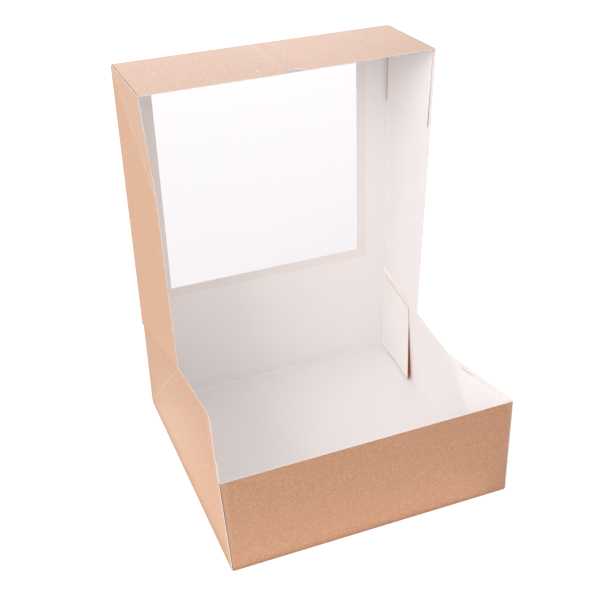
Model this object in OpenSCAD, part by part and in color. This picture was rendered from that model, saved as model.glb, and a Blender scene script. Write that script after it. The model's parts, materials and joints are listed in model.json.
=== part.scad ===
// Windowed bakery box folded from one sheet of board, with a hinged lid and a clear window film.
// The origin is the centre of the tray's underside, +X to the right, +Y to the rear, +Z up.
// The lid stands open, leaning a little back past upright.

/* [Tray] */
// Width of the tray over its side walls
tray_w = 275; // [200:1:360]
// Depth of the tray over its front and rear walls
tray_d = 269; // [240:1:340]
// Height of the tray's walls
wall_h = 100; // [60:1:120]

/* [Board] */
// Thickness of the board
board = 0.5; // [0.3:0.05:0.8]
// Depth that a glued face bites into the face it is glued to
glue_bite = 0.1; // [0.05:0.01:0.2]

/* [Tray side walls] */
// Distance along the top edge from a corner to the end of its slanting crease
corner_run = 93; // [85:1:110]
// Inward lean of the left wall's top edge at the rear crease
left_rear_lean = 11; // [2:0.5:20]
// Inward lean of the left wall's top edge at the front crease
left_front_lean = 15; // [2:0.5:20]
// Inward lean of the right wall's top edge at the rear crease
right_rear_lean = 9; // [2:0.5:20]
// Inward lean of the right wall's top edge at the front crease
right_front_lean = 15; // [2:0.5:20]

/* [Tray glue flaps] */
// Length of a glue flap along its side wall
flap_len = 73; // [30:1:80]
// Distance from the top of the wall down to the top of a glue flap
flap_drop = 4.5; // [1:0.5:15]
// Distance from the floor up to the bottom of a glue flap
flap_lift = 1; // [0.5:0.5:10]

/* [Lid] */
// Sideways gap between the tray and the closed lid's glue flaps
lid_side_gap = 0.4; // [0.3:0.1:3]
// Gap between the tray's front wall and the closed lid's front wall
lid_front_gap = 3.5; // [1:0.5:8]
// Gap between the tray's top edge and the closed lid's panel
lid_rest_gap = 0.35; // [0.3:0.05:2]
// Height of the closed lid's edge above the table
lid_edge_lift = 0.6; // [0.4:0.1:20]
// Bare distance on each side of the hinge crease
crease_gap = 0.4; // [0.35:0.05:0.45]
// Distance from the hinge crease to the rear end of the lid's side walls
side_wall_start = 1; // [0.5:0.5:5]
// Backward lean of the open lid in degrees
open_lean = 1.6; // [0:0.1:8]

/* [Lid glue flaps] */
// Length of a glue flap along the lid's side wall
lid_flap_len = 75; // [30:1:85]
// Distance from the lid's free edge to the glue flap
lid_flap_inset = 4; // [1:0.5:12]
// Distance from the lid's panel to the glue flap
lid_flap_gap = 2; // [1:0.5:8]

/* [Thumb notch] */
// Radius of the half-round thumb notch in the free edge of the lid's front wall
thumb_r = 10.2; // [6:0.2:18]

/* [Window] */
// Board left between the window and each side of the lid
window_side = 34.4; // [15:0.2:60]
// Board left between the hinge crease and the window
window_rear = 32.5; // [15:0.5:60]
// Board left between the window and the lid's front wall
window_front = 33.5; // [15:0.5:60]
// Glued margin of the film round the window
film_margin = 9.5; // [4:0.5:13]
// Thickness of the clear film
film = 0.1; // [0.05:0.05:0.3]

/* [Hidden] */

// Turned surfaces and the colours of the board's two faces
$fn = 96;
kraft_colour = [0.80, 0.62, 0.48];
lid_colour = [0.88, 0.76, 0.66];
film_colour = [0.85, 0.93, 0.96, 0.35];

// The hinge crease runs along the middle of the rear wall's thickness.
hinge_y = tray_d / 2 - board / 2;
hinge_z = wall_h + lid_rest_gap + board / 2;

// Lid sizes that follow the tray, the board and the gaps
lid_w = tray_w + 2 * (lid_side_gap + 2 * board);
lid_len = hinge_y + tray_d / 2 + lid_front_gap + board;
lid_depth = hinge_z - lid_edge_lift;

// Window opening and film
window_w = lid_w - 2 * window_side;
window_len = lid_len - window_rear - window_front;
film_w = window_w + 2 * film_margin;
film_len = window_len + 2 * film_margin;

// A cut tool reaches this far past the face that it cuts.
cut_past = 1;

// One wall of board: facets of its outer face, the same facets moved by the thickness, and a closed rim.
module board_sheet(points, facets, rim, thickness) {
    n = len(points);
    outer = [for (f = facets) [for (i = [len(f) - 1 : -1 : 0]) f[i]]];
    inner = [for (f = facets) [for (i = f) i + n]];
    sides = [for (i = [0 : len(rim) - 1])
        let (a = rim[i], b = rim[(i + 1) % len(rim)])
        [a, b, b + n, a + n]];
    polyhedron(
        points = concat(points, [for (p = points) p + thickness]),
        faces = concat(outer, inner, sides),
        convexity = 4
    );
}

// Left wall of the tray: a corner triangle at each end and a middle field that leans inward
module side_wall(rear_lean, front_lean) {
    x = -tray_w / 2;
    rear = tray_d / 2;
    points = [
        [x, rear, 0],
        [x, -rear, 0],
        [x, -rear, wall_h],
        [x + front_lean, corner_run - rear, wall_h],
        [x + rear_lean, rear - corner_run, wall_h],
        [x, rear, wall_h]
    ];
    facets = [[0, 4, 5], [0, 3, 4], [0, 1, 3], [1, 2, 3]];
    board_sheet(points, facets, [0, 1, 2, 3, 4, 5], [board, 0, 0]);
}

// Glue flap of the rear wall, folded forward against the corner triangle of the left wall
module tray_flap(lean) {
    translate([board - tray_w / 2 - glue_bite, tray_d / 2, board + flap_lift])
        rotate([0, 0, atan(lean / corner_run)])
            translate([0, -flap_len, 0])
                cube([board, flap_len - board / 2, wall_h - flap_drop - board - flap_lift]);
}

// Both corners of one side: the wall and its two glue flaps, for the left side
module tray_side(rear_lean, front_lean) {
    side_wall(rear_lean, front_lean);
    tray_flap(rear_lean);
    mirror([0, 1, 0])
        tray_flap(front_lean);
}

module tray() {
    color(kraft_colour)
    union() {
        translate([-tray_w / 2, -tray_d / 2, 0])
            cube([tray_w, tray_d, board]);
        translate([-tray_w / 2, -tray_d / 2, 0])
            cube([tray_w, board, wall_h]);
        translate([-tray_w / 2, tray_d / 2 - board, 0])
            cube([tray_w, board, hinge_z - crease_gap]);
        tray_side(left_rear_lean, left_front_lean);
        mirror([1, 0, 0])
            tray_side(right_rear_lean, right_front_lean);
    }
}

// Places a lid piece that is drawn upright, with the hinge crease along X through the origin.
module at_hinge() {
    translate([0, hinge_y, hinge_z])
        rotate([-open_lean, 0, 0])
            children();
}

// Panel of the lid with the window cut out
module lid_panel() {
    difference() {
        translate([-lid_w / 2, -board / 2, crease_gap])
            cube([lid_w, board, lid_len - crease_gap]);
        translate([-window_w / 2, -board / 2 - cut_past, window_rear])
            cube([window_w, board + 2 * cut_past, window_len]);
    }
}

// Front wall of the lid, on top while the lid stands open, with its thumb notch
module lid_front() {
    difference() {
        translate([-lid_w / 2, -lid_depth, lid_len - board])
            cube([lid_w, lid_depth + board / 2, board]);
        translate([0, -lid_depth, lid_len - board - cut_past])
            cylinder(r = thumb_r, h = board + 2 * cut_past);
    }
}

// Left side wall of the lid with the glue flap of the front wall inside it
module lid_side() {
    translate([-lid_w / 2, -lid_depth, side_wall_start])
        cube([board, lid_depth + board / 2, lid_len - side_wall_start]);
    translate([board - lid_w / 2 - glue_bite, lid_flap_inset - lid_depth, lid_len - board / 2 - lid_flap_len])
        cube([board + glue_bite, lid_depth - lid_flap_inset - lid_flap_gap, lid_flap_len]);
}

module lid() {
    color(lid_colour)
    at_hinge()
    union() {
        lid_panel();
        lid_front();
        lid_side();
        mirror([1, 0, 0])
            lid_side();
    }
}

// Clear film glued to the inside of the lid's panel
module window_film() {
    color(film_colour)
    at_hinge()
    translate([-film_w / 2, -board / 2 - film, window_rear - film_margin])
        cube([film_w, film, film_len]);
}

tray();
lid();
window_film();
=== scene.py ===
# %% [markdown]
# # A windowed bakery box
#
# This lesson dresses a packed carton with its looks. The real box is one die-cut sheet of board,
# brown kraft outside and white inside. It is folded into a shallow tray and a deep lid, and the lid
# has a window of clear film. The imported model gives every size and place, so the pieces made here
# are folded round it: a tray, the lid's shell, the lid's two side walls, the hinge crease and the
# film. All lengths are in metres, +X is to the right, +Y to the rear and +Z up.

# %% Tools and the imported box
import json
import math

import bmesh
import bpy
from mathutils import Matrix, Vector


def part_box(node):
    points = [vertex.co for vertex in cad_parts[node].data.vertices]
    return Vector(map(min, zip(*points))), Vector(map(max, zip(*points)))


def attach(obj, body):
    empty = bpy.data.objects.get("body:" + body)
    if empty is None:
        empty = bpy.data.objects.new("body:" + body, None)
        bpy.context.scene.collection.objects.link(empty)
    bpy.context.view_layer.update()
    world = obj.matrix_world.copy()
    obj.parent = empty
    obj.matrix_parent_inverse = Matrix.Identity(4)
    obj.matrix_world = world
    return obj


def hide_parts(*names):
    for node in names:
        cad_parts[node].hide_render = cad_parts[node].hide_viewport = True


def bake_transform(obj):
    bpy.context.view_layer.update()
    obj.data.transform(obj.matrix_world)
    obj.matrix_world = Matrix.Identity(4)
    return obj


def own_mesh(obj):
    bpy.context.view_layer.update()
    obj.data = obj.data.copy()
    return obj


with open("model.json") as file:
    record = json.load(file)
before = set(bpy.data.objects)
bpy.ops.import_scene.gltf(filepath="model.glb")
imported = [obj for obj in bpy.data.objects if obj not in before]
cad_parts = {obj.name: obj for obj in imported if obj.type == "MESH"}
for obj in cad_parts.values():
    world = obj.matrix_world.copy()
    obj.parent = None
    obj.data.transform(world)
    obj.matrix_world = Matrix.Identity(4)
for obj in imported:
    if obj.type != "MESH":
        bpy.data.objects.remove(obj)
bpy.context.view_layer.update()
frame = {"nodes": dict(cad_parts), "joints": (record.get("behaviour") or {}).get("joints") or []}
scene = bpy.context.scene
scene.view_settings.view_transform = "Standard"
print("packed pieces:", ", ".join(sorted(frame["nodes"])))

# %% [markdown]
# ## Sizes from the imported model
#
# The tray's outer size, the hinge line and the lid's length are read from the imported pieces, so
# this script follows them when the box is made in another size. Only what the eye sees and the
# solids leave out, such as the radius of a fold, is written here as a number.

# %% Sizes of the tray and of the board
mm = 0.001
board = 0.5 * mm
fold_r = 0.8 * mm
slip = 0.05 * mm
tray_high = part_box("tray")[1]
half_w = tray_high.x
half_d = tray_high.y
hinge = Vector(frame["joints"][0]["pos_m"])
hinge_above_wall = 0.6 * mm
wall_h = hinge.z - hinge_above_wall
print(f"tray {2 * half_w / mm:.1f} x {2 * half_d / mm:.1f} x {wall_h / mm:.1f} mm")

# %% Sizes of the lid
open_lean = math.radians(frame["joints"][0]["range_deg"][1]) - math.pi / 2
lid_low, lid_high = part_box("lid")
lid_half_w = lid_high.x
packed_wall_start = 1.0 * mm
lid_wall_start = -0.4 * mm
lid_depth = (hinge.y - lid_low.y + packed_wall_start * math.sin(open_lean)) / math.cos(open_lean)
lid_len = (lid_high.z - hinge.z - lid_depth * math.sin(open_lean)) / math.cos(open_lean)
lid_wall_h = lid_depth + board / 2
film_low, film_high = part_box("window_film")
film_half_w = film_high.x
film_start = (film_low.z - hinge.z) / math.cos(open_lean)
film_end = (film_high.z - hinge.z) / math.cos(open_lean)
film_margin = 9.5 * mm
print(f"lid {2 * lid_half_w / mm:.1f} x {lid_len / mm:.1f} x {lid_depth / mm:.1f} mm")

# %% [markdown]
# ## The camera
#
# The camera stands in front of the box, to its left and above it. Its place and angles were found
# by matching the corners of the box. A camera turns about its heading, then tilts, then rolls, so
# the three turns are multiplied in that order.

# %% Camera
camera_place = Vector((-0.3155, -0.7855, 0.6799))
camera_heading = math.radians(-20.91)
camera_tilt = math.radians(90 - 31.10)
camera_roll = math.radians(-1.46)
camera_data = bpy.data.cameras.new("camera")
camera_data.sensor_width = 36.0
camera_data.lens = 63.40
camera = bpy.data.objects.new("camera", camera_data)
scene.collection.objects.link(camera)
scene.camera = camera
turn = Matrix.Rotation(camera_heading, 4, "Z") @ Matrix.Rotation(camera_tilt, 4, "X")
camera.matrix_world = Matrix.Translation(camera_place) @ turn @ Matrix.Rotation(camera_roll, 4, "Z")
print("camera looks down by", round(90 - math.degrees(camera_tilt), 1), "degrees")

# %% [markdown]
# ## Helpers for folding a sheet
#
# A carton is folded from a flat sheet, and it can be modelled the same way: a plane is added, an
# edge of it is spun round a fold line, and the next panel is drawn out from the spun edge. Thickness
# comes last, from a Solidify modifier. An operator acts on everything that is selected, so each
# helper first deselects all and then picks what it needs by its place.

# %% Picking by place
near_enough = 0.02 * mm


def near(a, b):
    return abs(a - b) < near_enough


def only(piece):
    """Selects this one piece and makes it the active one."""
    bpy.ops.object.select_all(action="DESELECT")
    piece.select_set(True)
    bpy.context.view_layer.objects.active = piece


def pick(kind, test):
    """Selects what passes the test on its middle, in the piece that is being edited."""
    bpy.ops.mesh.select_mode(type=kind)
    bpy.ops.mesh.select_all(action="DESELECT")
    shape = bmesh.from_edit_mesh(bpy.context.edit_object.data)
    parts = {"VERT": shape.verts, "EDGE": shape.edges, "FACE": shape.faces}[kind]
    found = 0
    for part in parts:
        corners = [part] if kind == "VERT" else part.verts
        middle = sum((corner.co for corner in corners), Vector()) / len(corners)
        if test(middle):
            part.select_set(True)
            found += 1
    shape.select_flush_mode()
    bmesh.update_edit_mesh(bpy.context.edit_object.data)
    return found


# %% Adding a flat panel
def flat_panel(name, centre, width, length, turned=(0, 0, 0)):
    """A plane of that width along X and length along Y, then turned and moved to its centre."""
    bpy.ops.object.select_all(action="DESELECT")
    bpy.ops.mesh.primitive_plane_add(size=1)
    panel = bpy.context.object
    panel.name = name
    panel.data.name = name
    panel.scale = (width, length, 1)
    bpy.ops.object.transform_apply(location=True, rotation=True, scale=True)
    panel.rotation_euler = turned
    panel.location = centre
    bpy.ops.object.transform_apply(location=True, rotation=True, scale=True)
    return panel


# %% Cutting, folding and drawing out
fold_steps = 4


def cut(test, point, across):
    """Cuts the picked panels with a plane through the point, at right angles to the direction."""
    pick("FACE", test)
    bpy.ops.mesh.bisect(plane_co=point, plane_no=across)


def fold(test, centre, axis, angle):
    """Spins the picked edge round the fold line. Spin turns clockwise, so its angle is negative."""
    pick("EDGE", test)
    bpy.ops.mesh.spin(steps=fold_steps, angle=-angle, center=centre, axis=axis)


def draw_out(direction):
    """Draws the next panel out from the edge that is still picked."""
    bpy.ops.mesh.extrude_region_move(TRANSFORM_OT_translate={"value": direction})


def shift(test, move):
    """Moves the picked corners of the sheet."""
    if pick("VERT", test):
        bpy.ops.transform.translate(value=move)


# %% Thickness and shading
# The rims by the flaps and the faces behind a flap's open corner are kinds of their own, for brown painted
# shade.
kraft_face, white_face, cut_face, gap_shade_rim, gap_shade_face = range(5)
smooth_below = math.radians(30)


def thicken(piece, on_flap=lambda middle: False):
    """Gives the sheet the board's thickness, inward from its kraft face, and names its faces."""
    only(piece)
    for face_kind in range(gap_shade_face + 1):
        piece.data.materials.append(None)
    solid = piece.modifiers.new("board", "SOLIDIFY")
    solid.thickness = board
    solid.offset = -1
    solid.use_even_offset = True
    solid.material_offset = white_face
    solid.material_offset_rim = cut_face
    bpy.ops.object.modifier_apply(modifier=solid.name)
    bpy.ops.object.shade_smooth_by_angle(angle=smooth_below)
    even = piece.modifiers.new("even shading", "WEIGHTED_NORMAL")
    even.keep_sharp = True
    bpy.ops.object.modifier_apply(modifier=even.name)
    for face in piece.data.polygons:
        if face.material_index == cut_face and on_flap(face.center):
            face.material_index = gap_shade_rim
    print(piece.name, "has", len(piece.data.polygons), "faces")


def face_outward(piece, low_test):
    """Turns all faces outward, and all of them round again if the picked panel looks inward."""
    only(piece)
    bpy.ops.object.mode_set(mode="EDIT")
    bpy.ops.mesh.select_all(action="SELECT")
    bpy.ops.mesh.remove_doubles(threshold=near_enough / 4)
    bpy.ops.mesh.normals_make_consistent(inside=False)
    bpy.ops.object.mode_set(mode="OBJECT")
    if low_test(piece):
        bpy.ops.object.mode_set(mode="EDIT")
        bpy.ops.mesh.select_all(action="SELECT")
        bpy.ops.mesh.flip_normals()
        bpy.ops.object.mode_set(mode="OBJECT")
        print(piece.name, "was turned round")


def bottom_looks_up(piece):
    """True if the faces of the flat bottom panel point up."""
    return sum(face.normal.z * face.area for face in piece.data.polygons) > 0


# %% [markdown]
# ## The tray
#
# The real tray is a floor with four walls. The front and rear walls end in glue flaps, which fold
# round the corners and are glued inside the side walls. The side walls have a slanting crease from
# each bottom corner, which lets the empty box fold flat, and their top edges lean in between the
# creases. Eight separate boxes could stand for the panels, but their edges would not be folds. One
# sheet that is cut, spun and drawn out gives round folds, thin gaps at the corners and open edges
# as on the real carton.

# %% Tray floor and its fold lines
floor_x = half_w - fold_r
floor_y = half_d - fold_r
corner_slot = 0.7 * mm
corner_room = {-1: corner_slot, 1: slip}
end_fold_x = {end: half_w - board - corner_room[end] - fold_r for end in (-1, 1)}
tray = flat_panel("tray_board", (0, 0, 0), 2 * floor_x, 2 * floor_y)
bpy.ops.object.mode_set(mode="EDIT")
for side in (-1, 1):
    for end in (-1, 1):
        cut(lambda p: True, (side * end_fold_x[end], 0, 0), (1, 0, 0))
print("the floor has", len(bmesh.from_edit_mesh(tray.data).faces), "fields")

# %% Side folds, front wall and rear wall
crease_reach = 3.0 * mm
rear_top = hinge.z - crease_reach
fold_lip = 0.4 * mm
wall_foot = fold_r + fold_lip
for side in (-1, 1):
    fold(lambda p: near(p.x, side * floor_x), (side * floor_x, 0, fold_r), (0, 1, 0), -side * math.pi / 2)
    draw_out((0, 0, fold_lip))
for end, top in ((-1, wall_h), (1, rear_top)):
    fold(lambda p: near(p.y, end * floor_y) and abs(p.x) < end_fold_x[end],
         (0, end * floor_y, fold_r), (1, 0, 0), end * math.pi / 2)
    draw_out((0, 0, top - fold_r))
for side in (-1, 1):
    for end in (-1, 1):
        shift(lambda p: near(p.x, side * half_w) and near(p.y, end * floor_y) and p.z > fold_r / 2,
              (0, end * fold_r, 0))

# %% [markdown]
# ### Folds at the tray's corners
#
# The front and rear walls turn round the corners into glue flaps. Only the round fold at each end is
# part of this piece. The flap belongs to the side wall that it is glued to, because the two bend
# together.

# %% Corner folds of the front and rear walls
flap_low = 1.5 * mm
flap_high = {-1: wall_h - 1.5 * mm, 1: wall_h - 4.7 * mm}
for end in (-1, 1):
    for level in (flap_low, flap_high[end]):
        cut(lambda p: near(p.y, end * half_d) and abs(p.x) < end_fold_x[end], (0, 0, level), (0, 0, 1))
    for side in (-1, 1):
        fold(lambda p: near(p.x, side * end_fold_x[end]) and near(p.y, end * half_d)
             and flap_low < p.z < flap_high[end],
             (side * end_fold_x[end], end * (half_d - fold_r), 0), (0, 0, 1), -side * end * math.pi / 2)
        shift(lambda p: near(p.x, side * end_fold_x[end]) and near(p.y, end * half_d)
              and not flap_low - near_enough < p.z < flap_high[end] + near_enough,
              (side * fold_r, 0, 0))
bpy.ops.object.mode_set(mode="OBJECT")

# %% [markdown]
# ### Lean of the tray's side walls
#
# Between its two slanting creases a side wall leans in, most at the creases and the same all along
# a line from the floor up. The two corner fields turn about the corners instead, and the front
# corners spring out at the top and back a little. The tray's front reaches out by a millimetre or two
# as well, because no closed lid holds it. A wall is divided into small fields first, and each corner
# of them is then moved to the lower of the leans, with the crease between them softly rounded, as
# worn-in board bends.

# %% How far a place of a side wall leans
corner_run = 93.0 * mm
lean = {(-1, -1): 15.0 * mm, (-1, 1): 11.0 * mm, (1, -1): 15.0 * mm, (1, 1): 9.0 * mm}
corner_out = {(-1, -1): 5.4 * mm, (-1, 1): 0, (1, -1): 2.3 * mm, (1, 1): 0}
corner_back = {(-1, -1): 2.0 * mm, (-1, 1): 0, (1, -1): 4.5 * mm, (1, 1): 0}
crease_round = 1.3 * mm
front_out = {-1: 2.2 * mm, 1: 1.6 * mm}


def softly_less(a, b, rounding):
    """The smaller of two values, with the step between them rounded."""
    return (a + b - math.sqrt((a - b) ** 2 + rounding ** 2)) / 2


def tray_lean(side, y, z):
    """How far the tray's side wall leans in at the place y, z."""
    up = max(0, z - wall_foot) / (wall_h - wall_foot)
    front, rear = lean[side, -1], lean[side, 1]
    middle_run = 2 * (half_d - corner_run)
    leaned = (rear + (front - rear) * (half_d - y - corner_run) / middle_run) * up
    for end in (-1, 1):
        along = (half_d - end * y) / corner_run
        corner_field = lean[side, end] * along - corner_out[side, end] * (up - along)
        leaned = softly_less(leaned, corner_field, crease_round * up)
    return leaned


def let_out(corner):
    """How far the open tray reaches out to the front at a place, more on the left than on the right."""
    wide = corner.x / half_w
    front = (front_out[-1] * (1 - wide) + front_out[1] * (1 + wide)) / 2
    return front * (half_d - corner.y) / (2 * half_d)


def settled(corner):
    """How far a place is moved along Y by the let-out front and the turned corner field."""
    side, end = math.copysign(1, corner.x), math.copysign(1, corner.y)
    turned = max(0, corner.z / wall_h - (half_d - end * corner.y) / corner_run)
    return -let_out(corner) - end * corner_back[side, end] * turned


for corner in tray.data.vertices:
    corner.co.y += settled(corner.co)
face_outward(tray, bottom_looks_up)
thicken(tray)

# %% [markdown]
# ### The tray's side walls with their glue flaps
#
# A flap is glued near its corner and along its top. Its lower far corner stands a few millimetres off
# the wall, and the wall in that gap is painted brown: painted shade, coloured by the flap's kraft face.
# The rims of the flaps and the right wall's top rim are painted brown as well: painted shade of the
# thin gaps beside them. The front corner fold follows the corner that has sprung out, with a thin dark
# slot between it and the side wall's raw edge. The closed lid presses the real side walls straight, so
# each wall is a piece of its own.

# %% Panels that face sideways
wall_cuts = 36
flap_cuts = 18


def divide(test, cuts):
    """Divides the picked panels into small fields."""
    pick("FACE", test)
    bpy.ops.mesh.subdivide(number_cuts=cuts)


def side_panel(name, side, x, along, up, cuts):
    """A divided panel that looks outward on one side, between two places along Y and two heights."""
    middle = (side * x, sum(along) / 2, sum(up) / 2)
    panel = flat_panel(name, middle, up[1] - up[0], abs(along[1] - along[0]), (0, side * math.pi / 2, 0))
    bpy.ops.object.mode_set(mode="EDIT")
    divide(lambda p: True, cuts)
    bpy.ops.object.mode_set(mode="OBJECT")
    return panel


def joined(first, *others):
    """Joins pieces into the first one."""
    only(first)
    for other in others:
        other.select_set(True)
    bpy.ops.object.join()
    return first


# %% Glue flap of the tray
flap_len = 73.0 * mm
flap_taper = {-1: 2.0 * mm, 1: 1.2 * mm}
flap_away = {(-1, -1): 1.5 * mm, (-1, 1): 2.5 * mm, (1, -1): 1.2 * mm, (1, 1): 4.7 * mm}
flap_gap = 0.15 * mm
glued_above = 0.78 * wall_h
root_run = 4.0 * mm


def tray_flap(side, end):
    """A glue flap that starts at a corner fold and follows the side wall inside it."""
    root_y = end * (half_d - fold_r)
    flap = side_panel("flap", side, half_w, (root_y, root_y - end * flap_len), (flap_low, flap_high[end]),
                      flap_cuts)
    for corner in flap.data.vertices:
        away = end * (root_y - corner.co.y) / flap_len
        open_part = max(0, 1 - corner.co.z / glued_above)
        root_part = max(0, 1 - away * flap_len / root_run)
        off = (tray_lean(side, corner.co.y, corner.co.z) + board + flap_gap * away
               + corner_room[end] * root_part + flap_away[side, end] * away ** 2 * open_part)
        corner.co.y += settled(corner.co)
        corner.co.z -= flap_taper[end] * away * (corner.co.z - flap_low) / (flap_high[end] - flap_low)
        corner.co.x = side * (half_w - off)
    return flap


# %% Front corner fold that follows the sprung corner
spring_w = 1.0 * mm


def looks_back(piece):
    """True if the faces of an upright panel point to the rear."""
    return sum(face.normal.y * face.area for face in piece.data.polygons) > 0


def sprung_fold(side):
    """A narrow field from the front wall's end to a round fold that leans out with the corner."""
    start_x = end_fold_x[-1]
    field = flat_panel("corner", (side * (start_x + spring_w / 2), -half_d, (fold_r + wall_h) / 2), spring_w,
                       wall_h - fold_r, (math.pi / 2, 0, 0))
    bpy.ops.object.mode_set(mode="EDIT")
    fold(lambda p: near(p.x, side * (start_x + spring_w)), (side * (start_x + spring_w), fold_r - half_d, 0),
         (0, 0, 1), side * math.pi / 2)
    bpy.ops.object.mode_set(mode="OBJECT")
    face_outward(field, looks_back)
    for corner in field.data.vertices:
        if side * corner.co.x > start_x + spring_w / 2:
            corner.co.x -= side * (tray_lean(side, -half_d, corner.co.z) + spring_w)
        corner.co.y += settled(corner.co)
    return field


# %% Both side walls of the tray
rim_from_corner = 6 * mm
rim_from_wall = 15 * mm
wall_inner_face = 1.6 * board


def off_wall(middle):
    """How far a place is inward from the outer face of the side wall beside it."""
    side = math.copysign(1, middle.x)
    return half_w - abs(middle.x) - tray_lean(side, middle.y + let_out(middle), middle.z)


def tray_side_wall(name, side):
    """One side wall of the tray with its two glue flaps and its front corner fold."""
    wall = side_panel(name, side, half_w, (-half_d, half_d), (wall_foot, wall_h), wall_cuts)
    for corner in wall.data.vertices:
        leaned = tray_lean(side, corner.co.y, corner.co.z)
        corner.co.y += settled(corner.co)
        corner.co.x -= side * leaned
    joined(wall, tray_flap(side, -1), tray_flap(side, 1), sprung_fold(side))
    # The rims beside the flaps and along the right wall's top get brown painted shade of the gaps there.
    thicken(wall, lambda middle: abs(middle.y) < half_d - rim_from_corner
            and (board < off_wall(middle) < rim_from_wall or side > 0 and middle.z > wall_h - near_enough))
    # White faces just behind a flap's open corner get brown painted shade, for the shaded gap there.
    for face in wall.data.polygons:
        if face.material_index == white_face and board / 2 < off_wall(face.center) < wall_inner_face:
            face.material_index = gap_shade_face
    return wall


left_wall = tray_side_wall("tray_left_wall", -1)
right_wall = tray_side_wall("tray_right_wall", 1)

# %% [markdown]
# ## The lid's shell
#
# The lid is a second, deeper tray without a rear wall. It is folded here lying on its panel, with
# its hinge line along X through the origin and its front wall at the far end, and then it is tilted
# up and moved to the hinge. Its side walls bend when the lid is closed over the tray, so they are
# pieces of their own, and the shell keeps only the panel, the front wall and the two side folds. The
# open lid has racked a little, so its front wall twists and its thumb notch stands off the middle.

# %% Lid panel and front wall
lid_floor_x = lid_half_w - fold_r
lid_floor_end = lid_len - fold_r
lid_end_fold_x = lid_half_w - board - corner_slot - fold_r
lid_flap_low = 2.2 * mm
lid_flap_high = lid_wall_h - 4.0 * mm
lid_twist = {-1: 0.3 * mm, 1: 2.2 * mm}
shell = flat_panel("lid_board", (0, (crease_reach + lid_floor_end) / 2, 0),
                   2 * lid_floor_x, lid_floor_end - crease_reach)
bpy.ops.object.mode_set(mode="EDIT")
for side in (-1, 1):
    cut(lambda p: True, (side * lid_end_fold_x, 0, 0), (1, 0, 0))
for side in (-1, 1):
    fold(lambda p: near(p.x, side * lid_floor_x),
         (side * lid_floor_x, 0, fold_r), (0, 1, 0), -side * math.pi / 2)
    draw_out((0, 0, fold_lip))
fold(lambda p: near(p.y, lid_floor_end) and abs(p.x) < lid_end_fold_x / 2,
     (0, lid_floor_end, fold_r), (1, 0, 0), math.pi / 2)
draw_out((0, 0, lid_wall_h - fold_r))
thumb_r = 10.2 * mm
thumb_x = 2.5 * mm
notch_side = 1.5 * thumb_r
for side in (-1, 1):
    cut(lambda p: near(p.y, lid_len), (side * notch_side, 0, 0), (1, 0, 0))
for level in (lid_flap_low, lid_flap_high):
    cut(lambda p: near(p.y, lid_len) and abs(p.x) > notch_side, (0, 0, level), (0, 0, 1))
for side in (-1, 1):
    fold(lambda p: near(p.x, side * lid_end_fold_x) and near(p.y, lid_len)
         and lid_flap_low < p.z < lid_flap_high,
         (side * lid_end_fold_x, lid_len - fold_r, 0), (0, 0, 1), -side * math.pi / 2)
    shift(lambda p: near(p.x, side * lid_end_fold_x) and near(p.y, lid_len)
          and not lid_flap_low - near_enough < p.z < lid_flap_high + near_enough,
          (side * fold_r, 0, 0))

# %% Window opening
window_x = film_half_w - film_margin
window_start = film_start + film_margin
window_end = film_end - film_margin
for side in (-1, 1):
    cut(lambda p: near(p.z, 0), (side * window_x, 0, 0), (1, 0, 0))
for line in (window_start, window_end):
    cut(lambda p: near(p.z, 0) and abs(p.x) < window_x, (0, line, 0), (0, 1, 0))
pick("FACE", lambda p: near(p.z, 0) and abs(p.x) < window_x / 2 and window_start < p.y < window_end)
bpy.ops.mesh.delete(type="FACE")
print("window", round(2 * window_x / mm, 1), "x", round((window_end - window_start) / mm, 1), "mm")

# %% [markdown]
# ### The thumb notch
#
# The free edge of the lid's front wall has a half-round notch for the thumb. A cylinder could be cut
# away from it, but a row of cuts whose spacing follows the circle, with each new corner moved up to
# the circle, leaves a clean edge that takes the board's thickness as the rest does.

# %% Thumb notch
notch_cuts = 16
for step in range(notch_cuts + 1):
    across = thumb_x + thumb_r * math.cos(math.pi * step / notch_cuts)
    cut(lambda p: near(p.y, lid_len) and abs(p.x) < notch_side, (across, 0, 0), (1, 0, 0))
for step in range(1, notch_cuts):
    across = thumb_x + thumb_r * math.cos(math.pi * step / notch_cuts)
    drop = thumb_r * math.sin(math.pi * step / notch_cuts)
    shift(lambda p: near(p.x, across) and near(p.z, lid_wall_h), (0, 0, -drop))
bpy.ops.object.mode_set(mode="OBJECT")
for corner in shell.data.vertices:
    if corner.co.y > lid_len - 2 * fold_r:
        twist = lid_twist[math.copysign(1, corner.co.x)]
        corner.co.y += twist * (corner.co.x / lid_half_w) * corner.co.z / lid_wall_h
face_outward(shell, bottom_looks_up)
thicken(shell)

# %% [markdown]
# ## Standing the lid up
#
# A finished piece's object stays at the origin, and its place is in its mesh. So each lid piece is
# turned up round the hinge line, moved to the hinge, and the turn and the move are applied.

# %% Turn a lid piece up
lid_place = (Matrix.Translation(hinge) @ Matrix.Rotation(math.pi / 2 - open_lean, 4, "X")
             @ Matrix.Translation((0, 0, -board / 2)))


def stand_up(piece):
    """Turns a piece that was folded lying on its panel into its place in the open lid."""
    only(piece)
    piece.matrix_world = lid_place
    bpy.ops.object.transform_apply(location=True, rotation=True, scale=True)


stand_up(shell)

# %% [markdown]
# ## The lid's side walls
#
# Each side wall hangs on the panel's side fold and is held at the front by the glue flap of the front
# wall. Its free edge leans in, most near the hinge. When the lid closes outside the tray the wall
# straightens again. The flap is glued to the inside of the wall, so it belongs to the same piece and
# leans with it.

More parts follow.
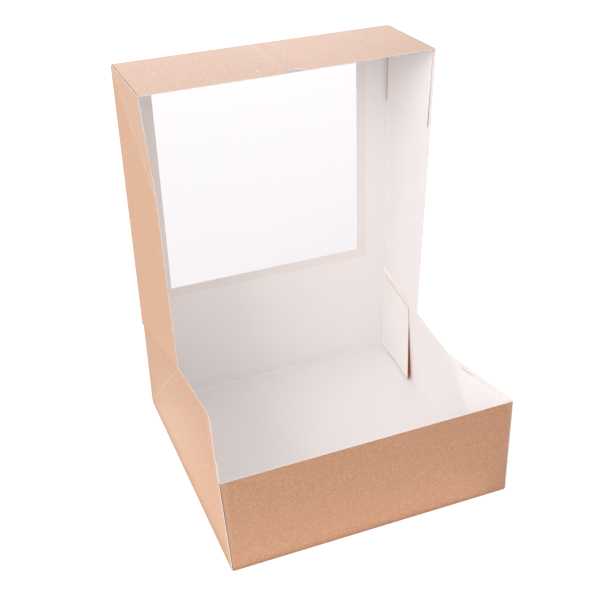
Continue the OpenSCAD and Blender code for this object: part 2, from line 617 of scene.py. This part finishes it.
# %% Shape of a lid side wall
lid_corner_run = 93.0 * mm
lid_flap_len = 75.7 * mm
rear_slant = 0.2 * mm
rear_slant_run = 60 * mm
lid_free_lean = {-1: (10.6 * mm, 7.0 * mm, 0.54), 1: (12.5 * mm, 4.5 * mm, 1.15)}
lid_flap_x = lid_half_w - board - slip
lid_flap_away = 0.7 * mm
lid_flap_slant = 1.5 * mm
lid_crease_round = 1.2 * mm


def lid_lean(side, along, z):
    """How far the lid's side wall leans in, at a distance along it from the hinge and a height z."""
    at_hinge, at_knee, power = lid_free_lean[side]
    up = (z - wall_foot) / (lid_wall_h - wall_foot)
    knee_along = lid_len - lid_corner_run
    part = min(max(along, 0) / knee_along, 1)
    field = (at_hinge + (at_knee - at_hinge) * part ** power) * up
    corner_field = at_knee * (lid_len - along) / lid_corner_run
    return max(0, softly_less(field, corner_field, lid_crease_round * up))


def lid_side_wall(name, side):
    """One side wall of the lid with its glue flap."""
    wall = side_panel(name, side, lid_half_w, (lid_wall_start, lid_len), (wall_foot, lid_wall_h), wall_cuts)
    flap = side_panel("flap", side, lid_flap_x, (lid_len - lid_flap_len, lid_len - fold_r),
                      (lid_flap_low, lid_flap_high), flap_cuts)
    joined(wall, flap)
    for corner in wall.data.vertices:
        leaned = lid_lean(side, corner.co.y, corner.co.z)
        if side * corner.co.x < lid_half_w - board / 2:
            from_root = (lid_len - fold_r - corner.co.y) / lid_flap_len
            root_part = max(0, 1 - from_root * lid_flap_len / root_run)
            leaned += lid_flap_away * from_root ** 2 + corner_slot * root_part
            corner.co.y += lid_flap_slant * from_root * (corner.co.z / lid_wall_h - 0.5)
        else:
            if near(corner.co.y, lid_wall_start) and near(corner.co.z, wall_foot):
                corner.co.z = 0
            corner.co.y -= rear_slant * max(0, 1 - corner.co.y / rear_slant_run) * corner.co.z / lid_wall_h
        corner.co.x -= side * leaned
        corner.co.y += lid_twist[side] * side * max(0, corner.co.y / lid_len) * corner.co.z / lid_wall_h
    # The flap's rims get brown painted shade of the gap beside it.
    thicken(wall, lambda middle: middle.y > lid_len / 2 and side * middle.x < lid_half_w - board - slip / 2
            - lid_lean(side, middle.y, middle.z))
    stand_up(wall)
    return wall


# %% Both lid side walls
left_side = lid_side_wall("lid_left_wall", -1)
right_side = lid_side_wall("lid_right_wall", 1)

# %% [markdown]
# ## The hinge crease
#
# The lid turns on a crease that runs along the top of the rear wall. A crease is a pressed line: a
# shallow groove outside and a bead inside. The strip round it belongs to both halves of the box, so
# it is a piece that bends from the tray to the lid.

# %% Hinge crease strip
strip_half_w = half_w - board - slip
groove_half = 0.5 * mm
groove_deep = 0.15 * mm
strip = flat_panel("hinge_crease", (0, half_d, hinge.z), 2 * strip_half_w, 2 * crease_reach,
                   (-math.pi / 2, 0, 0))
bpy.ops.object.mode_set(mode="EDIT")
strip_levels = 10
for step in range(1, strip_levels):
    level = hinge.z + crease_reach * (2 * step / strip_levels - 1)
    cut(lambda p: True, (0, 0, level), (0, 0, 1))
for level in (hinge.z - groove_half, hinge.z + groove_half):
    cut(lambda p: True, (0, 0, level), (0, 0, 1))
shift(lambda p: near(p.z, hinge.z), (0, -groove_deep, 0))
bpy.ops.object.mode_set(mode="OBJECT")
lean_back = Matrix.Translation(hinge) @ Matrix.Rotation(-open_lean, 4, "X") @ Matrix.Translation(-hinge)
for corner in strip.data.vertices:
    above = corner.co.z - hinge.z
    if above > 0:
        corner.co.x *= 1 + (lid_floor_x / strip_half_w - 1) * above / crease_reach
        corner.co = lean_back @ corner.co
thicken(strip)

# %% [markdown]
# ## The window film
#
# The film is a thin clear sheet, larger than the window by a glued margin all round. It is made with
# the window's outline cut into it, so that the clear field and the glued margin can have a finish
# each.

# %% Window film
film_thick = 0.1 * mm
film_gap = 0.01 * mm
clear_field, glued_margin = 0, 1
film = flat_panel("window_sheet", (0, (film_start + film_end) / 2, board + film_gap + film_thick),
                  2 * film_half_w, film_end - film_start)
bpy.ops.object.mode_set(mode="EDIT")
for side in (-1, 1):
    cut(lambda p: True, (side * window_x, 0, 0), (1, 0, 0))
for line in (window_start, window_end):
    cut(lambda p: True, (0, line, 0), (0, 1, 0))
bpy.ops.object.mode_set(mode="OBJECT")
for face in film.data.polygons:
    outside = abs(face.center.x) > window_x or not window_start < face.center.y < window_end
    face.material_index = glued_margin if outside else clear_field
only(film)
sheet_solid = film.modifiers.new("film", "SOLIDIFY")
sheet_solid.thickness = film_thick
sheet_solid.offset = -1
bpy.ops.object.modifier_apply(modifier=sheet_solid.name)
stand_up(film)

# %% [markdown]
# ## Shader helpers
#
# A finish is a tree of nodes. One helper adds a node with its options and input values, and another
# builds a reusable group with named inputs and outputs.

# %% Node helpers
def add_node(tree, kind, values=None, **options):
    """Adds a node, sets its options, and then the values of its inputs."""
    made = tree.nodes.new(kind)
    for name, value in options.items():
        setattr(made, name, value)
    for name, value in (values or {}).items():
        made.inputs[name].default_value = value
    return made


def new_group(name, inputs, outputs):
    """A shader group. Inputs are (name, socket type, default), and outputs (name, socket type)."""
    group = bpy.data.node_groups.new(name, "ShaderNodeTree")
    for label, kind, default in inputs:
        socket = group.interface.new_socket(name=label, in_out="INPUT", socket_type=kind)
        if default is not None:
            socket.default_value = default
    for label, kind in outputs:
        group.interface.new_socket(name=label, in_out="OUTPUT", socket_type=kind)
    return group, group.nodes.new("NodeGroupInput"), group.nodes.new("NodeGroupOutput")


def place_group(tree, group, values=None):
    """Puts a group into a material with its own input values."""
    made = tree.nodes.new("ShaderNodeGroup")
    made.node_tree = group
    for name, value in (values or {}).items():
        made.inputs[name].default_value = value
    return made


def connect(tree, *links):
    """Links nodes. Each link is a node, its output, the next node and its input."""
    for source, way_out, target, way_in in links:
        tree.links.new(source.outputs[way_out], target.inputs[way_in])


def colour(red, green, blue):
    """A colour given as the eye reads it, 0 to 255, turned into linear light."""

    def linear(value):
        value = value / 255
        return value / 12.92 if value <= 0.04045 else ((value + 0.055) / 1.055) ** 2.4

    return (linear(red), linear(green), linear(blue), 1.0)


# %% [markdown]
# ## Fibres in the board
#
# Board is pressed from fibres. From close by it shows soft mottling a few millimetres wide, thin
# curved hairs and small dark specks, and its surface is very slightly rough. The same group serves
# the kraft face, the white face and the cut edge, each with its own strength.

# %% Board grain group
SOCKET_FLOAT, SOCKET_VECTOR = "NodeSocketFloat", "NodeSocketVector"
grain, grain_in, grain_out = new_group(
    "board_grain",
    [("Vector", SOCKET_VECTOR, None), ("Mottle Scale", SOCKET_FLOAT, 700.0),
     ("Hair Scale", SOCKET_FLOAT, 420.0), ("Speck Scale", SOCKET_FLOAT, 900.0)],
    [("Cloud", SOCKET_FLOAT), ("Mottle", SOCKET_FLOAT), ("Hairs", SOCKET_FLOAT), ("Specks", SOCKET_FLOAT),
     ("Height", SOCKET_FLOAT)],
)
cloud = add_node(grain, "ShaderNodeTexNoise", {"Scale": 14.0, "Detail": 2.0})
mottle = add_node(grain, "ShaderNodeTexNoise", {"Detail": 4.0, "Roughness": 0.65})
hair = add_node(grain, "ShaderNodeTexNoise", {"Detail": 1.0, "Distortion": 1.8})
speck = add_node(grain, "ShaderNodeTexNoise", {"Detail": 1.0})
fine = add_node(grain, "ShaderNodeTexNoise", {"Scale": 1800.0, "Detail": 2.0})
for texture in (cloud, mottle, hair, speck, fine):
    grain.links.new(grain_in.outputs["Vector"], texture.inputs["Vector"])
connect(
    grain,
    (grain_in, "Mottle Scale", mottle, "Scale"),
    (grain_in, "Hair Scale", hair, "Scale"),
    (grain_in, "Speck Scale", speck, "Scale"),
)
off_middle = add_node(grain, "ShaderNodeMath", {1: 0.5}, operation="SUBTRACT")
either_way = add_node(grain, "ShaderNodeMath", operation="ABSOLUTE")
hair_line = add_node(grain, "ShaderNodeMapRange",
                     {"From Min": 0.0, "From Max": 0.02, "To Min": 1.0, "To Max": 0.0})
speck_spot = add_node(grain, "ShaderNodeMapRange", {"From Min": 0.68, "From Max": 0.76})
half_mottle = add_node(grain, "ShaderNodeMath", {1: 0.6}, operation="MULTIPLY")
height = add_node(grain, "ShaderNodeMath", operation="ADD")
connect(
    grain,
    (hair, "Fac", off_middle, 0),
    (off_middle, 0, either_way, 0),
    (either_way, 0, hair_line, "Value"),
    (speck, "Fac", speck_spot, "Value"),
    (mottle, "Fac", half_mottle, 0),
    (half_mottle, 0, height, 0),
    (fine, "Fac", height, 1),
    (cloud, "Fac", grain_out, "Cloud"),
    (mottle, "Fac", grain_out, "Mottle"),
    (hair_line, "Result", grain_out, "Hairs"),
    (speck_spot, "Result", grain_out, "Specks"),
    (height, 0, grain_out, "Height"),
)

# %% [markdown]
# ## Pressed crease lines
#
# A slanting crease is pressed into the flat sheet, and along it the kraft face cracks a little and
# shows pale broken marks. The group measures the distance from a line in the side walls' plane, so
# that the line stays put when a wall bends sideways. The same group draws every other line on the
# board: pressed lines on the lid's front wall, brown painted shade along the gaps at the flaps' edges,
# a line of painted shade at the lid flap's tip, a painted highlight on the bead of the rear fold, and
# the brown painted shade in the gap behind a tray flap.

# %% Crease line group
crease, crease_in, crease_out = new_group(
    "crease_line",
    [("Vector", SOCKET_VECTOR, None), ("Start", SOCKET_VECTOR, None), ("Direction", SOCKET_VECTOR, None),
     ("Plane", SOCKET_VECTOR, None), ("Length", SOCKET_FLOAT, 0.1), ("Width", SOCKET_FLOAT, 0.0005),
     ("Breaks", SOCKET_FLOAT, 0.5)],
    [("Mark", SOCKET_FLOAT), ("Groove", SOCKET_FLOAT)],
)
from_start = add_node(crease, "ShaderNodeVectorMath", operation="SUBTRACT")
in_plane = add_node(crease, "ShaderNodeVectorMath", operation="MULTIPLY")
along_line = add_node(crease, "ShaderNodeVectorMath", operation="DOT_PRODUCT")
foot = add_node(crease, "ShaderNodeVectorMath", operation="SCALE")
to_side = add_node(crease, "ShaderNodeVectorMath", operation="DISTANCE")
relative = add_node(crease, "ShaderNodeMath", operation="DIVIDE")
line_mask = add_node(crease, "ShaderNodeMapRange",
                     {"From Min": 0.4, "From Max": 1.0, "To Min": 1.0, "To Max": 0.0})
wide_mask = add_node(crease, "ShaderNodeMapRange",
                     {"From Min": 0.0, "From Max": 2.5, "To Min": 1.0, "To Max": 0.0})
past_start = add_node(crease, "ShaderNodeMath", {1: 0.0}, operation="GREATER_THAN")
before_end = add_node(crease, "ShaderNodeMath", operation="LESS_THAN")
inside_run = add_node(crease, "ShaderNodeMath", operation="MULTIPLY")
broken = add_node(crease, "ShaderNodeTexNoise", {"Scale": 420.0, "Detail": 2.0})
kept = add_node(crease, "ShaderNodeMath", operation="GREATER_THAN")
mark_run = add_node(crease, "ShaderNodeMath", operation="MULTIPLY")
mark = add_node(crease, "ShaderNodeMath", operation="MULTIPLY")
groove = add_node(crease, "ShaderNodeMath", operation="MULTIPLY")
connect(
    crease,
    (crease_in, "Vector", from_start, 0),
    (crease_in, "Start", from_start, 1),
    (from_start, 0, in_plane, 0),
    (crease_in, "Plane", in_plane, 1),
    (in_plane, 0, along_line, 0),
    (crease_in, "Direction", along_line, 1),
    (crease_in, "Direction", foot, 0),
    (along_line, "Value", foot, "Scale"),
    (in_plane, 0, to_side, 0),
    (foot, 0, to_side, 1),
    (to_side, "Value", relative, 0),
    (crease_in, "Width", relative, 1),
    (relative, 0, line_mask, "Value"),
    (relative, 0, wide_mask, "Value"),
    (along_line, "Value", past_start, 0),
    (along_line, "Value", before_end, 0),
    (crease_in, "Length", before_end, 1),
    (past_start, 0, inside_run, 0),
    (before_end, 0, inside_run, 1),
    (crease_in, "Vector", broken, "Vector"),
    (broken, "Fac", kept, 0),
    (crease_in, "Breaks", kept, 1),
    (kept, 0, mark_run, 0),
    (inside_run, 0, mark_run, 1),
    (mark_run, 0, mark, 0),
    (line_mask, "Result", mark, 1),
    (inside_run, 0, groove, 0),
    (wide_mask, "Result", groove, 1),
    (mark, 0, crease_out, "Mark"),
    (groove, 0, crease_out, "Groove"),
)

# %% [markdown]
# ## The board's finishes
#
# The kraft face, the white face and the cut edges are the same board. Each has a dark and a light
# tone that the mottling mixes, hairs and specks over them, and a little roughness in the surface.
# The kraft takes four close tones, one for each group of panels, lighter or darker by how the light
# falls on them: painted light and shade. A line on a face is a paint mixed over its tone, and a groove
# or a ridge in its relief.

# %% A finish for one face of the board
def painted(tree, mask, strength, paint, under):
    """Mixes a paint over the colour under it, where the mask is, as strongly as told."""
    weaker = add_node(tree, "ShaderNodeMath", {1: strength}, operation="MULTIPLY")
    over = add_node(tree, "ShaderNodeMix", {7: paint}, data_type="RGBA")
    tree.links.new(mask, weaker.inputs[0])
    tree.links.new(weaker.outputs[0], over.inputs[0])
    tree.links.new(under, over.inputs[6])
    return over.outputs[2]


def board_finish(name, dark, light, hairs, specks, rough, bump, sheen, lines=(), hair_scale=420.0):
    """A board finish. Hairs and specks are (colour, strength), lines are the marks on this face."""
    finish = bpy.data.materials.new(name)
    finish.use_nodes = True
    tree = finish.node_tree
    shader = tree.nodes["Principled BSDF"]
    place = add_node(tree, "ShaderNodeTexCoord").outputs["Object"]
    fibres = place_group(tree, grain, {"Hair Scale": hair_scale})
    tree.links.new(place, fibres.inputs["Vector"])
    steep = add_node(tree, "ShaderNodeMapRange", {"From Min": 0.3, "From Max": 0.7})
    tree.links.new(fibres.outputs["Mottle"], steep.inputs["Value"])
    tone = add_node(tree, "ShaderNodeMix", {6: dark, 7: light}, data_type="RGBA")
    tree.links.new(steep.outputs["Result"], tone.inputs[0])
    last_colour = tone.outputs[2]
    for mask, (paint, strength) in (("Hairs", hairs), ("Specks", specks)):
        last_colour = painted(tree, fibres.outputs[mask], strength, paint, last_colour)
    last_height = fibres.outputs["Height"]
    for values, paint, strength, deep in lines:
        pressed = place_group(tree, crease, values)
        tree.links.new(place, pressed.inputs["Vector"])
        last_colour = painted(tree, pressed.outputs["Mark"], strength, paint, last_colour)
        deeper = add_node(tree, "ShaderNodeMath", {1: deep}, operation="MULTIPLY_ADD")
        tree.links.new(pressed.outputs["Groove"], deeper.inputs[0])
        tree.links.new(last_height, deeper.inputs[2])
        last_height = deeper.outputs[0]
    relief = add_node(tree, "ShaderNodeBump", {"Strength": bump, "Distance": 0.00005})
    tree.links.new(last_height, relief.inputs["Height"])
    tree.links.new(relief.outputs["Normal"], shader.inputs["Normal"])
    tree.links.new(last_colour, shader.inputs["Base Color"])
    shader.inputs["Roughness"].default_value = rough
    shader.inputs["Sheen Weight"].default_value = sheen
    shader.inputs["Sheen Roughness"].default_value = 0.3
    shader.inputs["Specular IOR Level"].default_value = 0.35
    return finish


# %% Lines on the board
side_plane, level_plane, in_space = (0, 1, 1), (1, 1, 0), (1, 1, 1)
always = -1.0


def mark_line(start, end, width, paint, strength, breaks=always, deep=0.0, plane=side_plane):
    """A line on the board between two points of a plane, painted, broken and pressed as told."""
    flat_start, flat_end = (Vector(point) * Vector(plane) for point in (start, end))
    line = flat_end - flat_start
    values = {"Start": flat_start, "Direction": line.normalized(), "Plane": plane,
              "Length": line.length, "Width": width, "Breaks": breaks}
    return values, paint, strength, deep


def on_wall(along, up):
    """A point on the tray's side walls, moved with the let-out front."""
    point = Vector((0, along, up))
    return point - Vector((0, let_out(point), 0))


def on_lid(along, up, across=0.0):
    """A point on the lid, given as it lies on its panel and returned in its place."""
    return lid_place @ Vector((across, along, up))


crease_white = colour(240, 230, 224)
# Brown painted shade for the thin gaps at the flaps' edges, coloured by the kraft behind them.
edge_line_shade = colour(186, 128, 96)
# Brown painted shade for the gap behind a tray flap's open corner.
gap_shade_brown = colour(240, 160, 110)
pressed_shade = colour(158, 114, 90)
fold_shade = colour(196, 182, 176)
# A painted highlight for the bead along the rear fold.
bead_highlight = colour(254, 251, 250)
tray_crease_end = half_d - corner_run
lid_crease_end = lid_len - lid_corner_run
tray_lines = (
    mark_line(on_wall(half_d, 0), on_wall(tray_crease_end, wall_h), 0.5 * mm,
              crease_white, 0.25, 0.35, 4.0),
    mark_line(on_wall(-half_d, 0), on_wall(-tray_crease_end, wall_h), 0.5 * mm,
              crease_white, 0.7, 0.58, 4.0),
)
lid_side_lines = (
    mark_line(on_lid(lid_len, 0), on_lid(lid_crease_end, lid_wall_h), 0.8 * mm, crease_white, 1.0, 0.5, 4.0),
)
lid_front_lines = tuple(
    mark_line(on_lid(lid_len, up * mm, across * mm), on_lid(lid_len, end_up * mm, end_across * mm),
              width * mm, paint, strength, breaks, deep, level_plane)
    for up, across, end_up, end_across, width, paint, strength, breaks, deep in (
        (9, -107, 88, -105, 0.9, pressed_shade, 0.2, 0.35, -2.0),
        (9, -65, 40, -73, 0.9, pressed_shade, 0.25, 0.35, -2.0),
        (50, -24, 92, -27, 0.6, crease_white, 0.3, 0.5, 2.0),
        (69, 18, 90, 13, 0.9, pressed_shade, 0.25, 0.35, -2.0))
)
flap_tip = lid_len - lid_flap_len
flap_line = lid_flap_low + 0.4 * mm
lid_flap_lines = (
    # The brown line along the flap's lower edge is painted shade of the gap there; the pale line at the
    # flap's tip is painted shade too.
    mark_line(on_lid(flap_tip, flap_line), on_lid(lid_len - 2 * mm, flap_line), 1.3 * mm, edge_line_shade, 0.9),
    mark_line(on_lid(flap_tip, lid_flap_low), on_lid(flap_tip + lid_flap_slant, lid_flap_high), 0.5 * mm,
              fold_shade, 0.3),
)
fold_line_y = half_d - 1.2 * mm
fold_line_end = 0.2 * half_w
front_flap_tip = fold_r + flap_len - half_d
front_flap_line = flap_high[-1] - 0.3 * mm
floor_lines = (
    # The brown line along the front flap's top edge is painted shade of the gap beside it.
    mark_line(on_wall(2 * mm - half_d, front_flap_line),
              on_wall(front_flap_tip, front_flap_line - flap_taper[-1]), 0.6 * mm, edge_line_shade, 0.4),
    # The line at the rear fold is a painted highlight on its bead, over a raised ridge in the relief.
    mark_line((-half_w, fold_line_y, board), (fold_line_end, fold_line_y, board), 1.3 * mm, bead_highlight, 0.7,
              plane=in_space, deep=3.0),
)
# The patch behind a tray flap's open corner is brown painted shade of the gap, coloured by the kraft.
gap_shade_y = half_d - fold_r - flap_len + 5.0 * mm
gap_shade_top = 0.68 * wall_h
gap_shade_lines = (
    mark_line(on_wall(gap_shade_y, 1.5 * mm), on_wall(gap_shade_y, gap_shade_top), 5.5 * mm, gap_shade_brown, 0.95),
)

# %% Finishes of the board
kraft_hairs = (colour(240, 212, 190), 0.5)
kraft_specks = (colour(150, 105, 74), 0.25)
white_hairs = (colour(226, 218, 217), 0.1)
white_specks = (colour(226, 216, 212), 0.1)
edge_hairs = (colour(200, 180, 165), 0.2)
finishes = {}
# The four kraft tones are lit and shaded copies of one kraft: painted light and shade.
for name, dark, light, sheen, lines, hair_scale in (
        ("kraft_tray", (172, 124, 92), (198, 151, 118), 0.5, (), 420.0),
        ("kraft_wall", (177, 131, 98), (203, 158, 124), 0.7, tray_lines, 420.0),
        ("kraft_lid", (166, 121, 92), (192, 148, 118), 0.8, lid_front_lines, 320.0),
        ("kraft_side", (186, 137, 102), (211, 165, 128), 0.5, lid_side_lines, 420.0)):
    finishes[name] = board_finish(name, colour(*dark), colour(*light), kraft_hairs, kraft_specks, 0.55, 0.3,
                                  sheen, lines, hair_scale)
for name, lines in (("white_tray", floor_lines), ("gap_shade_wall", gap_shade_lines), ("white_lid", lid_flap_lines)):
    finishes[name] = board_finish(name, colour(242, 237, 236), colour(244, 241, 240), white_hairs,
                                  white_specks, 0.6, 0.1, 0.1, lines)
finishes["cut_edge"] = board_finish("cut_edge", colour(222, 216, 216), colour(240, 236, 238), edge_hairs,
                                    white_specks, 0.8, 0.6, 0.1)
# Brown painted shade for the rims beside the flaps, standing in for the shaded gaps there.
finishes["gap_shade_edge"] = board_finish("gap_shade_edge", colour(202, 162, 140), colour(222, 190, 170),
                                      kraft_hairs, kraft_specks, 0.8, 0.4, 0.1)
for piece, kraft, white in (
        (tray, "kraft_tray", "white_tray"), (shell, "kraft_lid", "white_lid"),
        (left_side, "kraft_side", "white_lid"), (right_side, "kraft_side", "white_lid"),
        (left_wall, "kraft_wall", "white_tray"), (right_wall, "kraft_wall", "white_tray"),
        (strip, "kraft_tray", "white_tray")):
    for face_kind, name in ((kraft_face, kraft), (white_face, white), (cut_face, "cut_edge"),
                            (gap_shade_rim, "gap_shade_edge"), (gap_shade_face, "gap_shade_wall")):
        piece.data.materials[face_kind] = finishes[name]

# %% [markdown]
# ## The film's two finishes
#
# The clear field is almost invisible: it lets nearly all light through and only its gloss shows.
# Alpha does this without bending the light, which suits a film as thin as this. The glued margin is
# milky and a little warmer than the board under it.

# %% Clear film and glued margin
clear_film = bpy.data.materials.new("clear_film")
clear_film.use_nodes = True
clear_shader = clear_film.node_tree.nodes["Principled BSDF"]
clear_shader.inputs["Base Color"].default_value = colour(100, 92, 118)
clear_shader.inputs["Roughness"].default_value = 0.08
clear_shader.inputs["Alpha"].default_value = 0.18
margin_film = bpy.data.materials.new("glued_margin")
margin_film.use_nodes = True
margin_tree = margin_film.node_tree
margin_shader = margin_tree.nodes["Principled BSDF"]
margin_place = add_node(margin_tree, "ShaderNodeTexCoord").outputs["Object"]
smear = add_node(margin_tree, "ShaderNodeTexNoise", {"Scale": 120.0, "Detail": 3.0, "Distortion": 0.6})
margin_tone = add_node(margin_tree, "ShaderNodeMix", {6: colour(237, 229, 226), 7: colour(242, 235, 232)},
                       data_type="RGBA")
margin_tree.links.new(margin_place, smear.inputs["Vector"])
connect(
    margin_tree,
    (smear, "Fac", margin_tone, 0),
    (margin_tone, 2, margin_shader, "Base Color"),
)
margin_shader.inputs["Roughness"].default_value = 0.35
film.data.materials.append(clear_film)
film.data.materials.append(margin_film)

# %% [markdown]
# ## Floor, background and light
#
# The box stands on a white floor that runs out of the picture. The floor is lit as any pale paper
# is, and shines a little where the camera sees it, also through the film, so that it looks white
# without more light on the box and still keeps the box's soft shadow. The sky is plain white where it
# is seen and a little warm where it lights the box. The key light is a large soft box on the left, a
# second one lights the box from behind, and two small cards lie on the floor and light the walls
# beside them from below, as pale paper under a box does.

# %% Floor
floor_width = 8.0
floor_drop = 0.1 * mm
floor = flat_panel("floor", (0, 0, -floor_drop), floor_width, floor_width)
white_floor = bpy.data.materials.new("white_floor")
white_floor.use_nodes = True
floor_tree = white_floor.node_tree
floor_shader = floor_tree.nodes["Principled BSDF"]
floor_shader.inputs["Base Color"].default_value = colour(208, 206, 206)
floor_shader.inputs["Roughness"].default_value = 0.9
floor_shader.inputs["Specular IOR Level"].default_value = 0.0
floor_path = add_node(floor_tree, "ShaderNodeLightPath")
seen = add_node(floor_tree, "ShaderNodeMath", operation="MAXIMUM")
connect(
    floor_tree,
    (floor_path, "Is Camera Ray", seen, 0),
    (floor_path, "Is Transmission Ray", seen, 1),
)
shine = add_node(floor_tree, "ShaderNodeMath", {1: 0.55}, operation="MULTIPLY")
connect(
    floor_tree,
    (seen, 0, shine, 0),
    (shine, 0, floor_shader, "Emission Strength"),
)
floor_shader.inputs["Emission Color"].default_value = (1, 1, 1, 1)
floor.data.materials.append(white_floor)

# %% World
world = bpy.data.worlds.new("studio")
scene.world = world
world.use_nodes = True
world_tree = world.node_tree
soft_sky = world_tree.nodes["Background"]
sky_light = 0.955
sky_tint = (1.0, 0.975, 0.965, 1.0)
world_path = add_node(world_tree, "ShaderNodeLightPath")
sky_first = add_node(world_tree, "ShaderNodeMath", operation="MAXIMUM")
sky_seen = add_node(world_tree, "ShaderNodeMath", operation="MAXIMUM")
sky_strength = add_node(world_tree, "ShaderNodeMapRange", {"To Min": sky_light, "To Max": 1.0})
connect(
    world_tree,
    (world_path, "Is Camera Ray", sky_first, 0),
    (world_path, "Is Glossy Ray", sky_first, 1),
    (sky_first, 0, sky_seen, 0),
    (world_path, "Is Transmission Ray", sky_seen, 1),
)
sky_colour = add_node(world_tree, "ShaderNodeMix", {6: sky_tint, 7: (1, 1, 1, 1)}, data_type="RGBA")
connect(
    world_tree,
    (sky_seen, 0, sky_colour, 0),
    (sky_colour, 2, soft_sky, "Color"),
    (sky_seen, 0, sky_strength, "Value"),
    (sky_strength, "Result", soft_sky, "Strength"),
)


# %% Lamps
def soft_box(name, place, target, width, power, height=None):
    """A square or oblong lamp that faces its target."""
    lamp_data = bpy.data.lights.new(name, "AREA")
    lamp_data.shape = "RECTANGLE"
    lamp_data.size = width
    lamp_data.size_y = height or width
    lamp_data.energy = power
    lamp = bpy.data.objects.new(name, lamp_data)
    scene.collection.objects.link(lamp)
    lamp.location = place
    lamp.rotation_euler = (Vector(target) - Vector(place)).to_track_quat("-Z", "Y").to_euler()
    return lamp


soft_box("key", (-1.72, -0.86, 1.2), (0, 0, 0.1), 1.2, 21.0)
soft_box("rear", (0.35, 2.1, 0.95), (0, 0.1, 0.37), 1.4, 18.5)
card_long, card_wide, card_away, card_light = 0.30, 0.08, 0.045, 0.055
card_up = 2 * mm
for name, x, y, width, height in (("front card", -0.03, -half_d - card_away, card_long, card_wide),
                                  ("left card", -half_w - card_away, -0.03, card_wide, card_long)):
    card = soft_box(name, (x, y, card_up), (x, y, 1.0), width, card_light, height)
    card.visible_camera = False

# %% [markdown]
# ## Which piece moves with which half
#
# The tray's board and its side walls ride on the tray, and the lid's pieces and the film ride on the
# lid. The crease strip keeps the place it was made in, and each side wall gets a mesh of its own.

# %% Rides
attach(tray, "tray")
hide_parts("tray")
for piece in (left_wall, right_wall):
    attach(piece, "tray")
for piece in (shell, left_side, right_side):
    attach(piece, "lid")
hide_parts("lid")
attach(film, "lid")
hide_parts("window_film")
for side, piece, outer in ((-1, left_side, lid_half_w), (1, right_side, lid_half_w),
                           (-1, left_wall, half_w), (1, right_wall, half_w)):
    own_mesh(piece)
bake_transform(strip)
